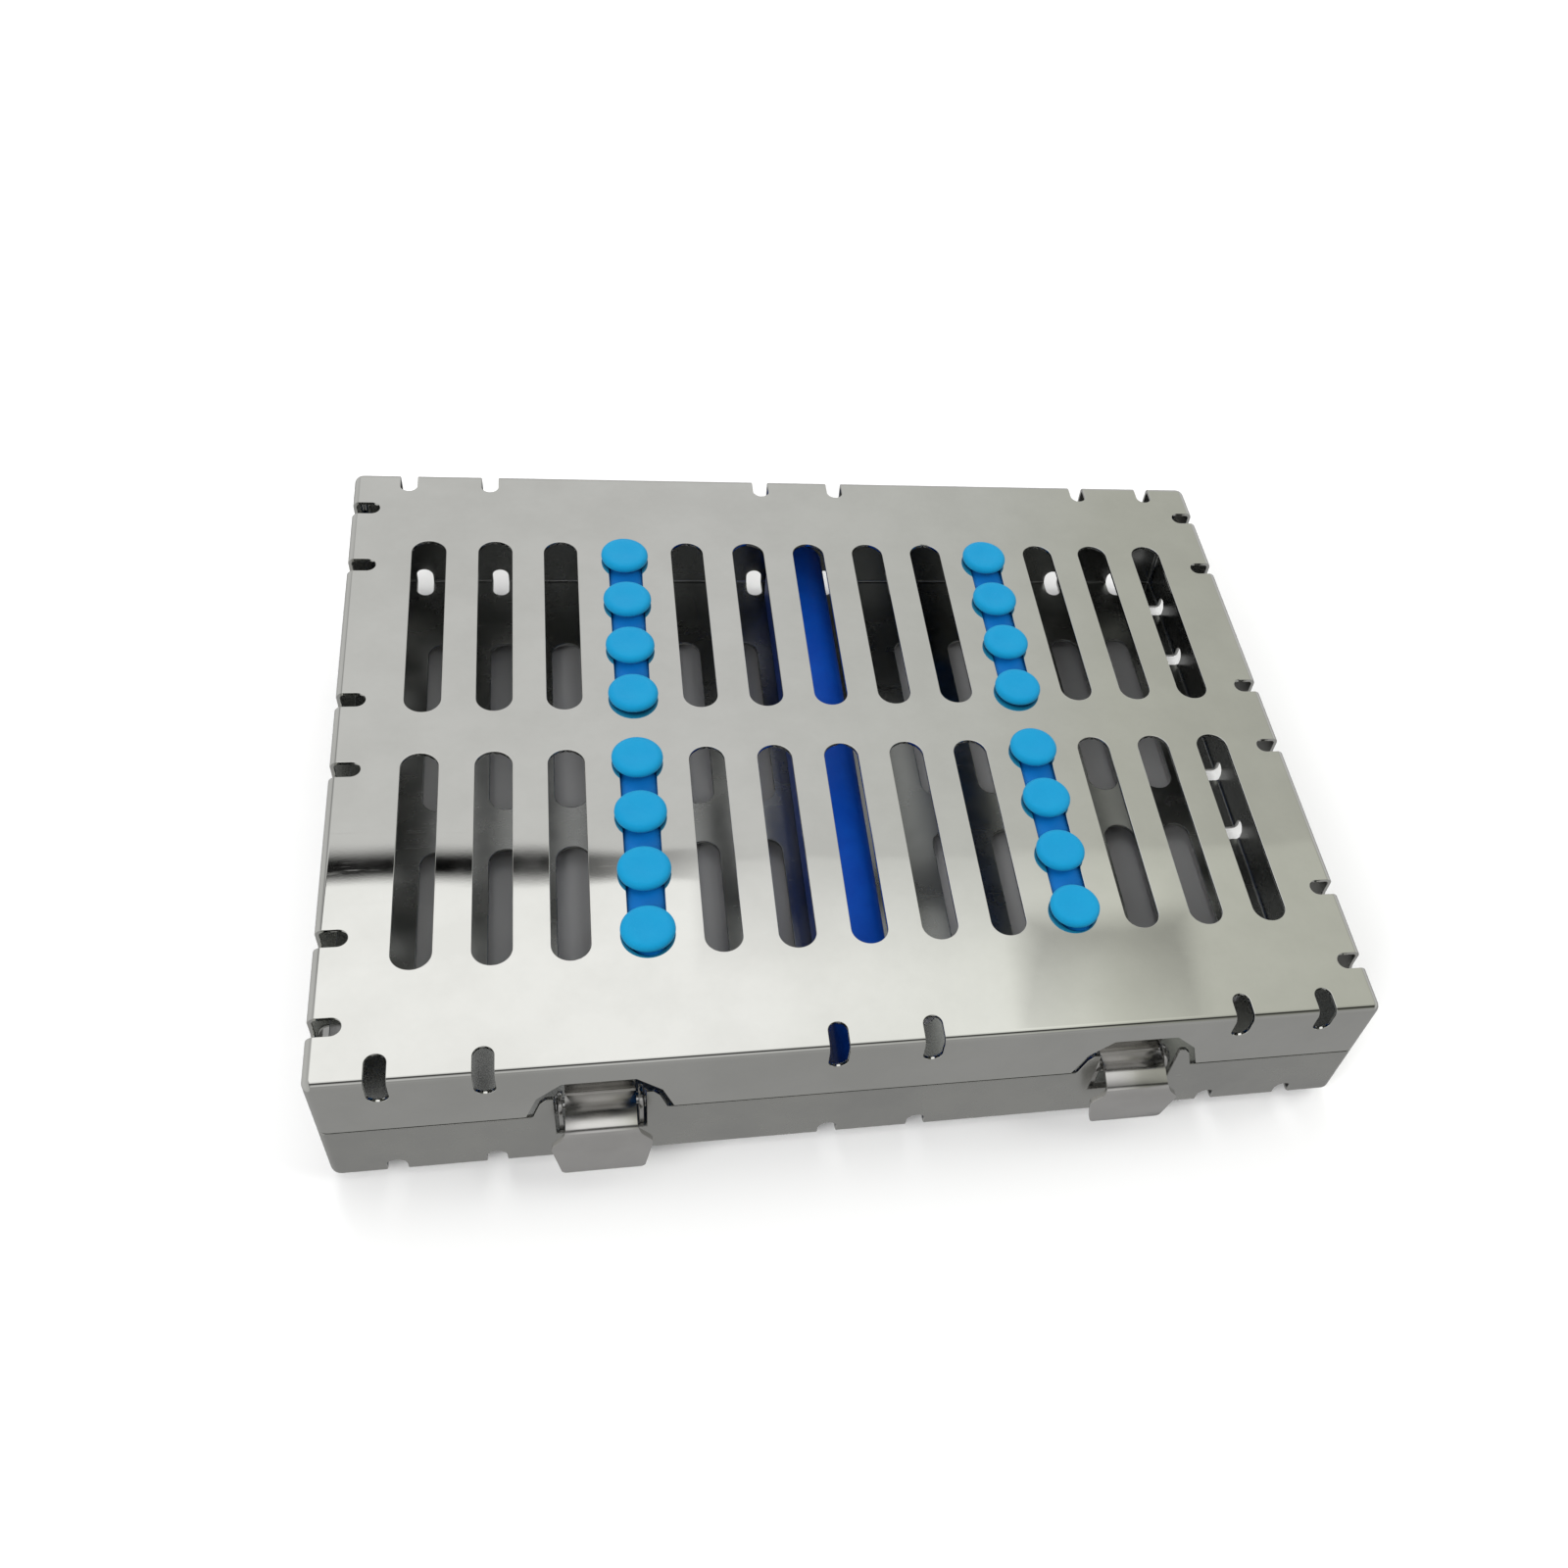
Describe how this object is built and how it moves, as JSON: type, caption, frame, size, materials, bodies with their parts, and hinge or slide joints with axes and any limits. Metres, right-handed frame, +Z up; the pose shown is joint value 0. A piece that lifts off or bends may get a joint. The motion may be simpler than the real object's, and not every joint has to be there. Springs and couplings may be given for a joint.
{
  "type": "instrument cassette",
  "caption": "Hinged perforated steel cassette for surgical hand instruments, with silicone comb rails, a centre bar and pivoting front latches.",
  "frame": {"origin": "on the surface the cassette rests on, below the middle of the case", "axes": "+X along the long side, +Y towards the hinges, +Z up through the lid"},
  "size_m": [0.18, 0.1526, 0.0331],
  "materials": {
    "steel": "satin, electropolished sheet",
    "hinge_steel": "satin",
    "pin_steel": "polished",
    "latch_steel": "satin, rounded edges",
    "blue_silicone": "matt moulded silicone, sky blue",
    "deep_blue_silicone": "matt moulded silicone, royal blue"
  },
  "bodies": {
    "base": {"base_tray": "steel", "base_centre_bar": "deep_blue_silicone", "hinge_base_leaf_left": "hinge_steel", "hinge_pin_left": "pin_steel", "latch_bracket_left": "hinge_steel", "latch_pin_left": "pin_steel", "hinge_base_leaf_right": "hinge_steel", "hinge_pin_right": "pin_steel", "latch_bracket_right": "hinge_steel", "latch_pin_right": "pin_steel"},
    "lid": {"lid_tray": "steel", "lid_rail_left": "blue_silicone", "lid_rail_right": "blue_silicone", "hinge_lid_leaf_left": "hinge_steel", "hinge_lid_leaf_right": "hinge_steel"},
    "latch_left": {"latch_lever_left": "latch_steel"},
    "latch_right": {"latch_lever_right": "latch_steel"}
  },
  "joints": [
    {"name": "lid_hinge", "type": "hinge", "parent": "base", "child": "lid", "pos_m": [0, 0.07385, 0.01655], "axis": [-1, 0, 0], "range_deg": [0, 180]},
    {"name": "latch_left_pivot", "type": "hinge", "parent": "base", "child": "latch_left", "pos_m": [-0.0464, -0.0686, 0.0152], "axis": [1, 0, 0], "range_deg": [-8.5, 11.5]},
    {"name": "latch_right_pivot", "type": "hinge", "parent": "base", "child": "latch_right", "pos_m": [0.0464, -0.0686, 0.0152], "axis": [1, 0, 0], "range_deg": [-16.2, 3.8]}
  ]
}
